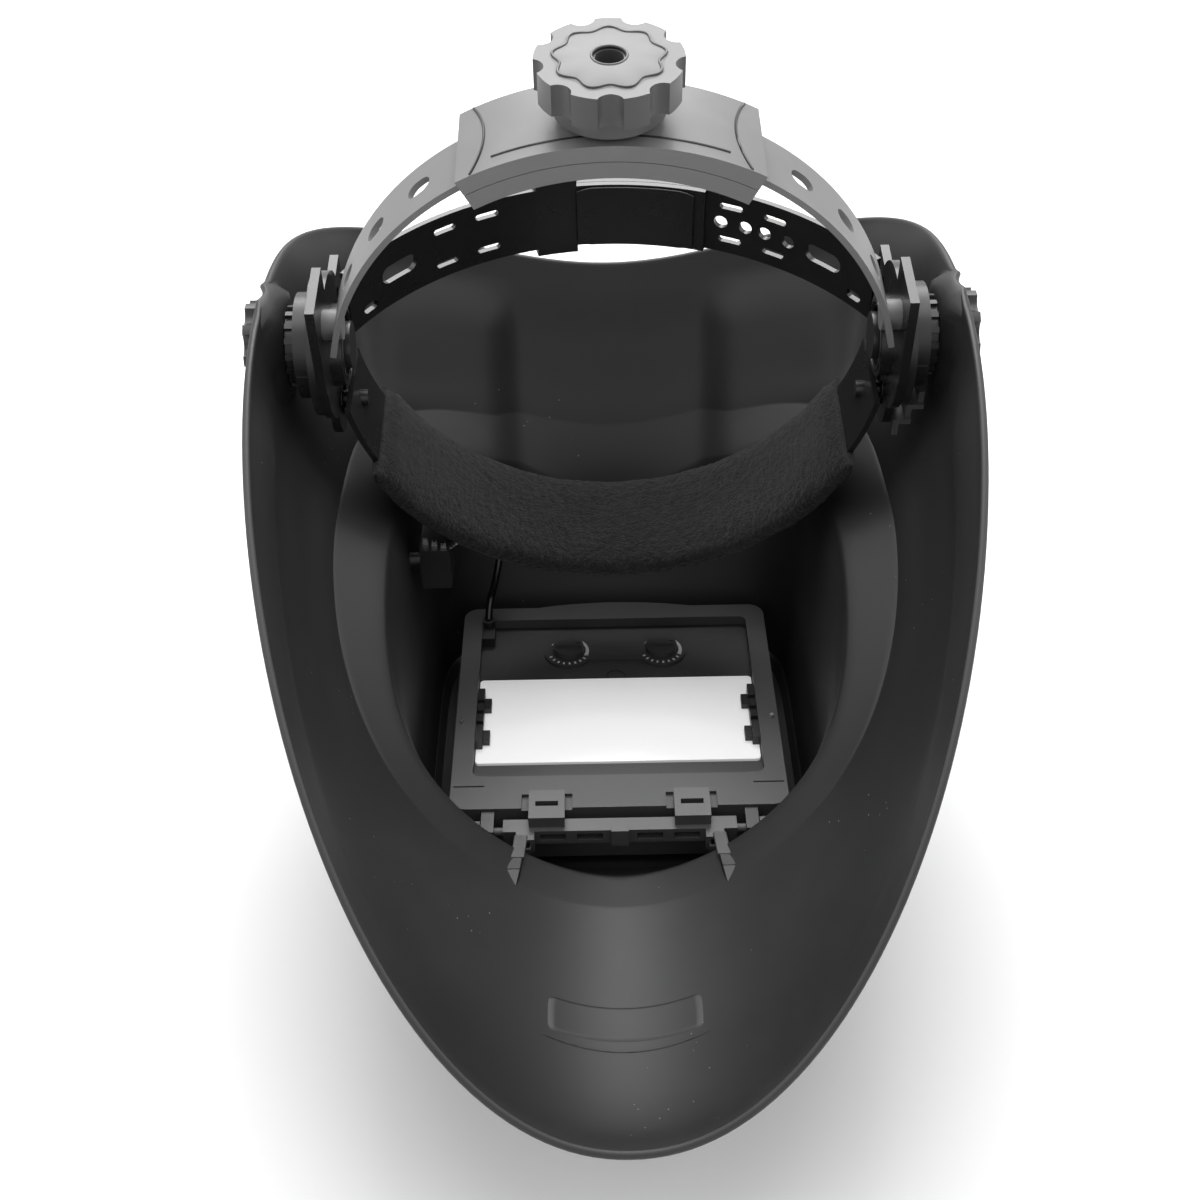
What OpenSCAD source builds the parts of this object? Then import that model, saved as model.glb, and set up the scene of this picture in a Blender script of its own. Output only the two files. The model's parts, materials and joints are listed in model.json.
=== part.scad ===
// Auto-darkening welding helmet, lying on the flat front of its shell.
// Millimetres. X to the right, Y from the chin to the crown, Z up, away from the table
// and out of the open back of the shell. Every sub-part is one module and one node.

/* [Shell] */
// Half of the widest width of the shell, at its rim
shell_half_w = 118; // [112:1:130]
// How far the crown rim reaches past the middle of the window
crown_reach = 122; // [118:1:140]
// How far the chin rim reaches past the middle of the window
chin_reach = 214; // [190:1:240]
// Height of the rim beside the ears, above the front face
rim_h = 186; // [180:1:205]
// Wall of the shell
wall = 2.5; // [2:0.1:3.5]
// Width of the window in the front face
window_w = 100; // [80:1:104]
// Height of the window in the front face
window_h = 82; // [60:1:84]

/* [Auto-darkening filter] */
// Width of the filter cartridge
adf_w = 110; // [106:1:114]
// Height of the filter cartridge
adf_h = 90; // [86:1:91]
// Thickness of the filter cartridge
adf_t = 9; // [8:0.5:11]
// Width of the clear view through the filter
view_w = 97; // [80:1:100]
// Height of the clear view through the filter
view_h = 42; // [35:1:44]
// Height of the frame's inner face above the front face of the shell
frame_face_z = 30; // [28:0.5:32]
// Width of the frame that holds the filter
frame_w = 120; // [119:1:123]
// Height of the frame that holds the filter
frame_h = 115; // [112:1:117]
// Distance of each of the filter's knobs from the middle
adf_knob_x = 18.3; // [15:0.5:24]

/* [Headgear] */
// Radius of the headband ring, to the middle of its straps
ring_r = 92; // [88:1:93]
// Thickness of the straps
strap_t = 2; // [1.6:0.1:2.4]
// Height of the front headband
front_band_h = 34; // [28:1:38]
// Thickness of the sweatband on each face of the headband
sweat_t = 4; // [3:0.5:5]
// Height of the sweatband
sweat_h = 47; // [40:1:50]
// Height of the crown strap over the pivots
crown_strap_h = 74; // [66:1:82]
// Width of the crown strap
crown_strap_w = 26; // [20:1:28]
// Height of the rear straps
rear_band_h = 24; // [20:1:28]
// How far the rear straps lie under the pivots
rear_drop = 14; // [10:1:16]
// Forward lean of the headgear in the shell
lean = 79.2; // [74:0.2:84]

/* [Hubs and knobs] */
// Diameter of the pivot bolts
bolt_d = 8; // [6:0.5:10]
// Diameter of the outside tension knobs
tension_d = 31; // [28:1:34]
// Thickness of the outside tension knobs
tension_t = 10; // [8:0.5:12]
// Diameter of the ratchet knob
ratchet_d = 44; // [36:1:46]
// Diameter of the shade knob
shade_d = 32; // [24:1:36]
// Running clearance of a shaft in its bore
fit = 0.08; // [0.04:0.02:0.1]
// Gap between pieces that only lie next to each other
gap = 0.3; // [0.2:0.1:0.5]

/* [Hidden] */
$fn = 48;
// Brings the middle of the whole box over the origin
y_shift = 46;
// Pivot of the headgear, in the frame of the window
pivot = [28, 168];
// Outside of the flat pad that the shell has around each pivot
pad_x = 112.2;
pad_r = 17.5;
pad_slope = 1.6;
// The pad fades out towards the rim, from this height on
pad_fade_z = 180;
pad_fade = 0.6;
// Places along X of the stack on each pivot bolt
plate_x = ring_r + 2.6;
plate_t = 3;
hub_x = plate_x + plate_t;
hub_t = 8.4;
washer_x = hub_x + hub_t;
washer_t = pad_x - wall - washer_x - gap;
head_x = plate_x - 2.2;
tension_x = pad_x + 0.8;
bolt_r = bolt_d / 2;
// Filter stack along Z
lens_z = wall + 0.1;
lens_t = 1.8;
gasket_t = 1.4;
frame_z = lens_z + lens_t + gasket_t;
adf_face_z = frame_face_z - 4;
adf_z = adf_face_z - adf_t;
adf_y = 4.5;
case_wall = 1.6;
lip = 2.4;
view_y = -6.7;
adf_knob_y = 33;
// Latch under the frame
latch_y = -64;
latch_z = 25;
trunnion_r = 1.6;
bracket_x = 44;
latch_end_x = 55;
hook_x = 25.5;
arm_x = 33;
// Shade control on the left wall
shade = [26, 78];
shade_x = -66;
pot_w = 17;
pot_deep = 11;
shade_shaft_r = 3;
cable_d = 3;
// Rear case
case_span = 56;
case_h = 36;
case_r0 = ring_r - 5.4;
case_r1 = ring_r + 5.4;
case_skin = 1.8;
pinion_r = 5;
// Finger notches round the big knobs
lobes = 9;
notch_r = 4;
notch_out = 1.2;
base_t = 3.6;
rack_h = 5;
rack_span = 18;
rack_teeth = 14;
shaft_r = 3;

// ---- placing ----
module placed() translate([0, y_shift, 0]) children();
module headgear() placed() translate([0, pivot[0], pivot[1]]) rotate([-lean, 0, 0])
    children();
// A cylinder along X from x0 to x1
module rod(x0, x1, r, y = 0, z = 0) translate([min(x0, x1), y, z]) rotate([0, 90, 0])
    cylinder(r = r, h = abs(x1 - x0));
module slab(w, d, z0, z1, y = 0) translate([-w / 2, y - d / 2, z0]) cube([w, d, z1 - z0]);
// A plate with round corners, made of cubes and cylinders
module round_slab(w, d, z0, z1, r, y = 0) translate([0, y, z0]) linear_extrude(z1 - z0)
    round_rect(w, d, r);
module round_rect(w, d, r) {
    square([w - 2 * r, d], center = true);
    square([w, d - 2 * r], center = true);
    for (sx = [-1, 1], sy = [-1, 1])
        translate([sx * (w / 2 - r), sy * (d / 2 - r)]) circle(r);
}
// Part of a ring about Z, from angle a0 to a1, radii r0 to r1, heights z0 to z1
module arc(r0, r1, z0, z1, a0, a1) rotate([0, 0, a0]) rotate_extrude(angle = a1 - a0, $fn = 96)
    translate([r0, z0]) square([r1 - r0, z1 - z0]);

// ---- shell ----
// Each ring: half width, middle y, top y, bottom y, squareness above and below,
// z at the sides, at the crown and at the chin, and how z fades above and below
shell_rings = [
    [window_w / 2, 0, window_h / 2, -window_h / 2, 9, 9, 0, 0, 0, 6, 2],
    [67, 2, 62, -60, 6, 6, 0, 0, 0, 6, 2],
    [72, 2, 67, -66, 6, 6, 5, 5, 3, 6, 2],
    [76.5, 5, 82, -75, 4.5, 4.5, 55, 34, 8, 6, 2.2],
    [82, 5, 92, -81, 4, 3.6, 100, 62, 16, 6, 1.9],
    [99, 5, 104, -98, 3.8, 2.8, 112, 88, 20, 5, 1.8],
    [112, 10, 114, -158, 3.8, 2.5, 143, 118, 24, 4, 1.7],
    [115, 14, crown_reach - 3, -(chin_reach - 18), 4.4, 2.3, 166, 138, 34, 3.5, 1.6],
    [shell_half_w, 20, crown_reach, -chin_reach, 4.6, 2.2, rim_h, 150, 50, 3, 1.6]];
ring_steps = 64;
blend_steps = 2;
last_ring = (len(shell_rings) - 1) * blend_steps;
function ring_clamped(k) = shell_rings[min(max(k, 0), len(shell_rings) - 1)];
// Smooth curve through the rings, at ring number t
function ring_at(t) = let(k = floor(min(t, len(shell_rings) - 1.001)), f = t - k,
    a = ring_clamped(k - 1), b = ring_clamped(k), c = ring_clamped(k + 1),
    d = ring_clamped(k + 2))
    t <= 2 ? b + (c - b) * f :
    b + ((c - a) * f + (2 * a - 5 * b + 4 * c - d) * f * f
        + (3 * b - a - 3 * c + d) * f * f * f) / 2;
// The pad around each pivot holds the wall in to pad_x
function padded_x(x, y, z) = let(d = norm([y - pivot[0], z - pivot[1]]))
    sign(x) * min(abs(x), pad_x + max(0, d - pad_r) * pad_slope
        + max(0, z - pad_fade_z) * pad_fade);
function shell_point(t, i) = let(r = ring_at(t), ang = 360 * i / ring_steps,
    c = cos(ang), s = sin(ang), up = s >= 0,
    e = up ? r[4] : r[5], h = up ? r[2] - r[1] : r[1] - r[3],
    q = pow(pow(abs(c), e) + pow(abs(s), e), -1 / e),
    x = r[0] * c * q, y = r[1] + h * s * q,
    z = r[6] + (up ? (r[7] - r[6]) * pow(abs(s), r[9]) : (r[8] - r[6]) * pow(abs(s), r[10])))
    [padded_x(x, y, z), y, z];
// Unit normal that points out of the shell, from neighbouring points
function shell_normal(t, i) = let(
    du = shell_point(t, i + 0.5) - shell_point(t, i - 0.5),
    dv = shell_point(min(t + 0.15, len(shell_rings) - 1), i)
        - shell_point(max(t - 0.15, 0), i),
    n = cross(du, dv)) n / norm(n);
function inner_point(t, i) = shell_point(t, i) - wall * (t < 1.6 ? [0, 0, -1] : shell_normal(t, i));
module shell_skin() {
    outer = [for (k = [0:last_ring], i = [0:ring_steps - 1]) shell_point(k / blend_steps, i)];
    inner = [for (k = [0:last_ring], i = [0:ring_steps - 1]) inner_point(k / blend_steps, i)];
    n = ring_steps;
    m = len(outer);
    function quad(a, b, c, d) = [[a, b, c], [a, c, d]];
    faces = [for (k = [0:last_ring - 1], i = [0:n - 1]) let(j = (i + 1) % n)
        each concat(
            quad(k * n + j, k * n + i, (k + 1) * n + i, (k + 1) * n + j),
            quad(m + k * n + i, m + k * n + j, m + (k + 1) * n + j, m + (k + 1) * n + i))];
    edges = [for (i = [0:n - 1]) let(j = (i + 1) % n, top = last_ring * n)
        each concat(
            quad(i, j, m + j, m + i),
            quad(top + j, top + i, m + top + i, m + top + j))];
    polyhedron(concat(outer, inner), concat(faces, edges), convexity = 10);
}
module shell() color("#222326") placed() difference() {
    shell_skin();
    for (side = [-1, 1])
        rod(side * (pad_x - 12), side * (pad_x + 12), bolt_r + fit, pivot[0], pivot[1]);
    rod(shade_x - 30, shade_x, shade_shaft_r + fit, shade[0], shade[1]);
}

// ---- filter ----
module window_cut(w, h, r, y = 0) translate([0, y, 0]) linear_extrude(80, center = true)
    round_rect(w, h, r);
module front_cover_lens() color("#a8b4b0") placed()
    round_slab(adf_w, adf_h, lens_z, lens_z + lens_t, 3);
module lens_gasket() color("#303030") placed() difference() {
    round_slab(adf_w, adf_h, lens_z + lens_t, frame_z, 3);
    window_cut(window_w, window_h, 4);
}
module adf_frame() color("#55585c") placed() difference() {
    union() {
        round_slab(frame_w, frame_h, frame_z, frame_face_z, 6);
        translate([0, frame_h / 2 - 160 + 3, frame_z]) intersection() {
            cylinder(r = 160, h = frame_face_z - frame_z, $fn = 96);
            translate([-frame_w / 2 + 22, 100, 0]) cube([frame_w - 44, 80, 60]);
        }
    }
    // pocket for the cartridge, the way through to the window, and the opening
    translate([0, adf_y, (frame_z + 3 + adf_face_z + gap) / 2])
        cube([adf_w + 2 * gap, adf_h + 2 * gap, adf_face_z + gap - frame_z - 3], center = true);
    window_cut(window_w, window_h, 4);
    translate([0, adf_y, frame_face_z])
        linear_extrude(20, center = true) round_rect(adf_w - 2 * lip, adf_h + 2 * gap, 3);
    // short mould lines and the seat of the latch hooks
    for (sx = [-1, 1]) {
        translate([sx * hook_x - 9, -frame_h / 2 - 1, frame_face_z - 1.2]) cube([18, 8, 5]);
        translate([sx * (adf_w / 2 - 1.5) - 5.5, adf_y - adf_h / 2 - 6, frame_face_z - 0.5])
            cube([11, 0.8, 5]);
    }
}
module adf_front_case() color("#2b2c2f") placed() difference() {
    round_slab(adf_w, adf_h, adf_z, adf_z + adf_t / 2, 3, adf_y);
    round_slab(adf_w - 2 * case_wall, adf_h - 2 * case_wall, adf_z + case_wall,
        adf_z + adf_t, 2, adf_y);
    window_cut(view_w, view_h, 2, view_y);
}
module adf_back_case() color("#34363a") placed() difference() {
    union() {
        round_slab(adf_w, adf_h, adf_z + adf_t / 2, adf_face_z, 3, adf_y);
        // raised pad round the two knobs
        for (sx = [-1, 1]) translate([sx * adf_knob_x, adf_knob_y, adf_face_z - 1])
            cylinder(r = 9.5, h = 2.2);
        translate([-adf_knob_x, adf_knob_y - 5.5, adf_face_z - 1])
            cube([2 * adf_knob_x, 11, 2.2]);
    }
    round_slab(adf_w - 2 * case_wall, adf_h - 2 * case_wall, adf_z,
        adf_face_z - case_wall, 2, adf_y);
    window_cut(view_w, view_h, 2, view_y);
    for (sx = [-1, 1]) translate([sx * adf_knob_x, adf_knob_y, adf_face_z - 10])
        cylinder(r = 2.5 + fit, h = 20);
    // seat of the cover plate and its finger notch
    translate([0, view_y, adf_face_z + 4.2]) cube([adf_w - 4, view_h + 7, 10], center = true);
    translate([0, view_y + view_h / 2 + 4, adf_face_z - 0.8]) cylinder(r = 4, h = 5);
}
lcd_z = adf_z + case_wall + 0.1;
module lcd_glass() color("#3c5a4a") placed()
    slab(view_w + 4, view_h + 4, lcd_z, adf_face_z - case_wall - 0.1, view_y);
module circuit_board() color("#1f5c3a") placed() difference() {
    slab(adf_w - 8, 30, lcd_z + 2, lcd_z + 3.2, 32);
    for (sx = [-1, 1]) translate([sx * adf_knob_x, adf_knob_y, 0]) cylinder(r = 2, h = 60);
}
module solar_cell() color("#1b2038") placed() slab(60, 12, lcd_z, lcd_z + 1.8, 41);
module battery(side) color("#b9bcc0") placed()
    translate([side * 40, 28, lcd_z + 3.3]) cylinder(r = 8, h = 1.7);
module arc_sensors() color("#101014") placed() for (sx = [-1, 1])
    translate([sx * 42, 40, lcd_z]) cylinder(r = 3, h = 1.9);
module adf_knob(side) color("#3b3d40") placed()
    translate([side * adf_knob_x, adf_knob_y, 0]) difference() {
        union() {
            translate([0, 0, adf_face_z + 1.4]) cylinder(r = 6, h = 2.6);
            translate([0, 0, lcd_z + 3.3]) cylinder(r = 2.5, h = adf_face_z - lcd_z - 1);
            translate([-5, -1.2, adf_face_z + 3.6]) cube([10, 2.4, 1.8]);
        }
        translate([3, -0.3, adf_face_z + 5]) cube([3, 0.6, 2]);
    }
module inner_cover_plate() color("#e8ecec") placed()
    round_slab(adf_w - 5.5, view_h + 5, adf_face_z - 0.8 + 0.05, adf_face_z + 0.4, 1.5, view_y);
module lens_clip(side) color("#2a2b2e") placed() mirror([side < 0 ? 1 : 0, 0, 0])
    difference() {
        translate([adf_w / 2 - 5.2, view_y - 16, adf_face_z + 0.5]) union() {
            cube([2.6, 30, 4]);
            translate([-2.6, 2, 0.1]) cube([3, 6, 2.2]);
            translate([-2.6, 20, 0.1]) cube([3, 6, 2.2]);
        }
        for (k = [0:2]) translate([adf_w / 2 - 6.6, view_y - 7 + 6 * k, adf_face_z + 3])
            cube([6, 2.4, 3]);
    }

// ---- latch ----
module latch_bar() color("#6b6e72") placed() {
    difference() {
        union() {
            rod(-latch_end_x, latch_end_x, trunnion_r, latch_y, latch_z);
            for (sx = [-1, 1]) translate([sx * (latch_end_x - 3) - 3, latch_y - 2, latch_z - 2])
                cube([6, 5, 4.5]);
            translate([-bracket_x + 3.2, latch_y - 3, latch_z - 3])
                cube([2 * bracket_x - 6.4, 6, 6]);
            for (sx = [-1, 1]) {
                translate([sx * hook_x - 6.3, latch_y - 1, latch_z + 2.5]) cube([12.6, 4, 3.8]);
                translate([sx * hook_x - 6.3, latch_y - 1, frame_face_z + 0.3])
                    cube([12.6, 14, 2.2]);
                translate([sx * arm_x - 3.2, latch_y - 7, latch_z - 3]) cube([6.4, 5, 6]);
                translate([sx * arm_x - 2, latch_y - 8.8, latch_z - 2]) cube([4, 4, 2.2]);
            }
            translate([-3, latch_y - 4.6, latch_z - 3]) cube([6, 3, 7]);
        }
        for (sx = [-1, 1]) {
            translate([sx * hook_x - 4, latch_y + 5, frame_face_z - 1]) cube([8, 2.4, 8]);
            translate([sx * arm_x - 1.6, latch_y - 8, latch_z - 1.6]) cube([3.2, 10, 3.2]);
            for (k = [0:1]) translate([sx * (6 + 13 * k) + (sx < 0 ? -9 : 0),
                latch_y - 4, latch_z - 1.5]) cube([9, 4, 3]);
        }
    }
}
module latch_bracket(side) color("#26272a") placed() mirror([side < 0 ? 1 : 0, 0, 0])
    difference() {
        translate([bracket_x, latch_y - 4, latch_z - 5])
            cube([4.5, -frame_h / 2 - latch_y + 4, 9]);
        rod(bracket_x - 1, bracket_x + 6, trunnion_r + fit, latch_y, latch_z);
    }

// ---- shade control ----
cable_route = [[-66, 36.6, 78], [-65.5, 43, 78], [-63, 51, 77], [-58, 59, 75], [-52, 65, 71],
    [-47, 68, 65], [-45, 67, 58], [-45.5, 63, 50], [-47.5, 57, 43], [-49.6, 50.5, 38.5],
    [-50, 47.2, 33]];
cable_sides = 8;
function route_dir(k) = let(a = cable_route[max(k - 1, 0)],
    b = cable_route[min(k + 1, len(cable_route) - 1)]) (b - a) / norm(b - a);
module shade_cable() color("#0e0e10") placed() {
    n = cable_sides;
    side_dir = [for (k = [0:len(cable_route) - 1])
        let(c = cross(route_dir(k), [1, 0.3, 0.2])) c / norm(c)];
    pts = [for (k = [0:len(cable_route) - 1], j = [0:n - 1]) let(a = 360 * j / n,
        v = cross(route_dir(k), side_dir[k]))
        cable_route[k] + cable_d / 2 * (cos(a) * side_dir[k] + sin(a) * v)];
    last = (len(cable_route) - 1) * n;
    faces = [for (k = [0:len(cable_route) - 2], j = [0:n - 1]) let(i = (j + 1) % n)
        each [[k * n + i, k * n + j, (k + 1) * n + j],
            [k * n + i, (k + 1) * n + j, (k + 1) * n + i]]];
    polyhedron(pts, concat(faces, [[for (j = [0:n - 1]) j],
        [for (j = [0:n - 1]) last + n - 1 - j]]));
}
module cable_boot() color("#121214") placed() translate([-50, 46, adf_face_z + 0.15]) {
    translate([-2.5, -8, 0]) cube([5, 10, 4]);
    translate([0, 1, 2]) cylinder(r = 2.5, h = 4.6);
}
module shade_pot() color("#1c1d20") placed() {
    translate([shade_x - pot_deep / 2, shade[0] - pot_w / 2 + 2, shade[1] - pot_w / 2])
        cube([pot_deep, pot_w, pot_w]);
    rod(shade_x - 25, shade_x, shade_shaft_r, shade[0], shade[1]);
}
module shade_knob() color("#2a2b2e") placed() difference() {
    union() {
        rod(shade_x - 30, shade_x - 20, shade_d / 2, shade[0], shade[1]);
        for (k = [0:17]) translate([shade_x - 30, shade[0], shade[1]]) rotate([k * 20, 0, 0])
            translate([0, 0, shade_d / 2 - 0.4]) cube([10, 1.6, 1.6]);
        translate([shade_x - 32, shade[0] - 11, shade[1] - 2]) cube([3, 22, 4]);
    }
    rod(shade_x - 26, shade_x - 19, shade_shaft_r + fit, shade[0], shade[1]);
}

// ---- headgear, drawn upright: Y to the brow, Z to the crown, pivots on X ----
band_r0 = ring_r - strap_t / 2;
band_r1 = ring_r + strap_t / 2;
stud_y = 24;
module strap_slots(places, w, h, z) for (a = places) rotate([0, 0, a])
    translate([ring_r - 10, -w / 2 + h / 2, z]) {
        cube([20, w - h, h], center = false);
        for (e = [0, w - h]) translate([0, e, h / 2]) rotate([0, 90, 0])
            cylinder(r = h / 2, h = 20);
    }
module headband_front() color("#222428") headgear() difference() {
    arc(band_r0, band_r1, -front_band_h / 2, front_band_h / 2, 10, 170);
    for (side = [-1, 1]) rod(side * 60, side * 100, 3 + fit, stud_y, 0);
    strap_slots([34, 50, 66, 82, 98, 114, 130, 146], 14, 5, -2.5);
}
module sweatband() color("#2b2b2b") headgear() difference() {
    arc(band_r0 - sweat_t, band_r1 + sweat_t, -sweat_h / 2, sweat_h / 2, 30, 150);
    arc(band_r0 - gap, band_r1 + gap, -front_band_h / 2 - gap, front_band_h / 2 + gap, 29, 151);
}
module side_outline() difference() {
    union() {
        circle(25);
        translate([-crown_strap_w / 2, 0]) square([crown_strap_w, 33]);
        translate([0, -12]) square([24, 24]);
        translate([24, 0]) circle(12);
        translate([-34, -rear_drop - rear_band_h / 2]) square([34, rear_band_h]);
    }
    translate([14, 8]) circle(3);
    translate([-6, 20]) circle(2.6);
    translate([8, 20]) circle(2.6);
}
module side_plate(side) color("#17181a") headgear() mirror([side < 0 ? 1 : 0, 0, 0]) {
    difference() {
        union() {
            translate([plate_x, 0, 0]) rotate([90, 0, 90]) linear_extrude(plate_t) side_outline();
            rod(plate_x - 4.2, plate_x + 1, 14, 0, 0);
            rod(plate_x - 9, plate_x + 1, 3, stud_y, 0);
        }
        rod(plate_x - 8, plate_x + 8, bolt_r + fit, 0, 0);
        rod(plate_x - 8, head_x, 10, 0, 0);
        // long recess along the front tab
        translate([plate_x - 0.1, -3, 14]) cube([1.4, 6, 15]);
    }
}
crown_r = (pow(plate_x - 1, 2) + pow(crown_strap_h - 22, 2)) / (2 * (crown_strap_h - 22));
crown_tilt = asin((plate_x - 1.5) / crown_r);
// Part of the crown strap, as an arc about Y, from tilt a0 to a1 off the vertical
module crown_arc(r0, r1, w, a0, a1) translate([0, 0, crown_strap_h - crown_r])
    rotate([90, 0, 0]) arc(r0, r1, -w / 2, w / 2, 90 - a1, 90 - a0);
module crown_hole(a, y, w, h) translate([0, 0, crown_strap_h - crown_r]) rotate([0, a, 0])
    translate([0, y, crown_r]) {
        cube([w - h, h, 12], center = true);
        for (e = [-1, 1]) translate([e * (w - h) / 2, 0, -6]) cylinder(r = h / 2, h = 12);
    }
module crown_strap(side, r0) difference() {
    crown_arc(r0, r0 + strap_t, crown_strap_w, side < 0 ? -crown_tilt : -19,
        side < 0 ? 19 : crown_tilt - 1);
    for (y = [-7.2, 7.2]) {
        crown_hole(side * 24, y, 9, 2.4);
        crown_hole(side * 33, y, 9, 2.4);
    }
    crown_hole(side * 44, 0, 16, 7);
    crown_hole(side * 52, 8, 7, 3.4);
}
module crown_strap_left() color("#24262a") headgear() {
    crown_strap(-1, crown_r - strap_t);
    // buckle loop round the other strap
    difference() {
        crown_arc(crown_r - strap_t, crown_r + strap_t + 2, crown_strap_w + 6, -14, -6);
        crown_arc(crown_r - 0.1, crown_r + strap_t + 0.4, crown_strap_w + 0.6, -15, -5);
    }
}
module crown_strap_right() color("#24262a") headgear() difference() {
    crown_strap(1, crown_r + 0.2);
    for (a = [22, 27, 31, 36]) crown_hole(a, 0, 5.1, 5);
    for (y = [-7.2, 7.2]) crown_hole(0, y, 9, 2.4);
}
module rear_strap(side) color("#b9bbbd") headgear() mirror([side < 0 ? 1 : 0, 0, 0])
    difference() {
        union() {
            arc(band_r0, band_r1, -rear_drop - rear_band_h / 2, -rear_drop + rear_band_h / 2,
                270 + case_span / 2 + 0.6, 350);
            rod(ring_r - 4, plate_x - 0.05, 5, -20, -rear_drop);
        }
        strap_slots([309, 322, 335], 9, 7, -rear_drop - 3.5);
    }
// ---- ratchet ----
rear_z0 = -rear_drop - case_h / 2;
rear_z1 = -rear_drop + case_h / 2;
module rack(side) color("#8d9093") headgear() mirror([side < 0 ? 1 : 0, 0, 0]) {
    z0 = -rear_drop + (side > 0 ? pinion_r + 0.3 : -pinion_r - 0.3 - rack_h);
    z_mid = z0 + (side > 0 ? 0 : rack_h);
    difference() {
        arc(band_r0, band_r1, z0, z0 + rack_h, 270 - rack_span / 2, 270 + case_span / 2 - 8);
        for (a = [0:rack_teeth - 1]) rotate([0, 0, 270 - rack_span / 2 + 1.3 + 1.96 * a])
            translate([band_r0 - 1, -0.8, z_mid - 1.3]) cube([strap_t + 2, 1.6, 2.6]);
    }
}
module ratchet_case_outer() color("#a9abae") headgear() difference() {
    arc(ring_r + 0.2, case_r1, rear_z0, rear_z1, 270 - case_span / 2, 270 + case_span / 2);
    arc(ring_r - 1, band_r1 + gap, rear_z0 + case_skin, rear_z1 - case_skin,
        270 - case_span / 2 - 1, 270 + case_span / 2 + 1);
    translate([0, -ring_r + 8, -rear_drop]) rotate([90, 0, 0]) cylinder(r = shaft_r + 2 * fit, h = 30);
    translate([0, -case_r1 + 2, -rear_drop]) rotate([90, 0, 0]) cylinder(r = 8, h = 30);
}
module ratchet_case_inner() color("#a0a2a5") headgear() difference() {
    arc(case_r0, ring_r, rear_z0, rear_z1, 270 - case_span / 2, 270 + case_span / 2);
    arc(band_r0 - gap, ring_r + 1, rear_z0 + case_skin, rear_z1 - case_skin,
        270 - case_span / 2 - 1, 270 + case_span / 2 + 1);
    translate([0, -ring_r + 8, -rear_drop]) rotate([90, 0, 0]) cylinder(r = shaft_r + 2 * fit, h = 30);
}
knob_y = -case_r1 - 1.5;
module ratchet_knob() color("#9da0a3") headgear() translate([0, 0, -rear_drop]) difference() {
    rotate([90, 0, 0]) {
        translate([0, 0, -knob_y]) cylinder(r = ratchet_d / 2 - 5, h = 6);
        translate([0, 0, -knob_y + 6]) cylinder(r = ratchet_d / 2, h = 10);
        translate([0, 0, ring_r - 4.6]) cylinder(r = shaft_r, h = 12);
        translate([0, 0, band_r0 - 0.1]) intersection() {
            cylinder(r = pinion_r, h = strap_t + 0.1);
            for (k = [0:9]) rotate([0, 0, 36 * k]) translate([-1, 0, 0]) cube([2, 6, 4]);
        }
    }
    rotate([90, 0, 0]) translate([0, 0, -knob_y + 6]) cylinder(r = 4.2, h = 20);
    rotate([90, 0, 0]) translate([0, 0, -knob_y - 12]) cylinder(r = 1.5, h = 40);
    // finger notches
    for (k = [0:lobes - 1]) rotate([90, (k + 0.5) * 360 / lobes, 0])
        translate([0, ratchet_d / 2 + notch_out, -knob_y + 5]) cylinder(r = notch_r, h = 12);
}
module ratchet_screw() color("#c8c9cb") headgear() translate([0, 0, -rear_drop])
    rotate([90, 0, 0]) difference() {
        union() {
            translate([0, 0, -knob_y + 6]) cylinder(r = 3.6, h = 2.2);
            translate([0, 0, -knob_y - 8]) cylinder(r = 1.5, h = 15);
        }
        translate([0, 0, -knob_y + 8.4]) cube([4, 1, 2], center = true);
        translate([0, 0, -knob_y + 8.4]) cube([1, 4, 2], center = true);
    }

// ---- hubs ----
module hub(side) color("#1d1e20") headgear() mirror([side < 0 ? 1 : 0, 0, 0]) difference() {
    union() {
        rod(hub_x, hub_x + 3, 24);
        rod(hub_x + 2, washer_x, 18);
        translate([hub_x + 3, -1.5, -18.8]) cube([5, 3, 2]);
        translate([hub_x + 3, -1.5, 16.8]) cube([5, 3, 2]);
    }
    rod(hub_x - 1, washer_x + 1, bolt_r + fit);
}
module toothed_washer(side) color("#28292c") headgear() mirror([side < 0 ? 1 : 0, 0, 0])
    difference() {
        union() {
            rod(washer_x, washer_x + washer_t, 12.5);
            for (k = [0:15]) rotate([22.5 * k, 0, 0]) translate([washer_x, -1, 12])
                cube([washer_t, 2, 1.8]);
        }
        rod(washer_x - 1, washer_x + washer_t + 1, bolt_r + fit);
    }
module pivot_bolt(side) color("#303236") headgear() mirror([side < 0 ? 1 : 0, 0, 0]) {
    rod(head_x - 4, head_x, 8);
    rod(head_x - 1, tension_x + tension_t - 3.5, bolt_r);
}
module tension_knob(side) color("#2a2b2e") headgear() mirror([side < 0 ? 1 : 0, 0, 0])
    difference() {
        union() {
            rod(tension_x, tension_x + base_t, tension_d / 2 - 6);
            rod(tension_x + base_t, tension_x + tension_t, tension_d / 2);
        }
        rod(tension_x - 1, tension_x + tension_t - 3.3, bolt_r + fit);
        for (k = [0:lobes - 1]) rotate([(k + 0.5) * 360 / lobes, 0, 0])
            rod(tension_x + 1, tension_x + tension_t + 1, notch_r, 0, tension_d / 2 + notch_out);
    }
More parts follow.
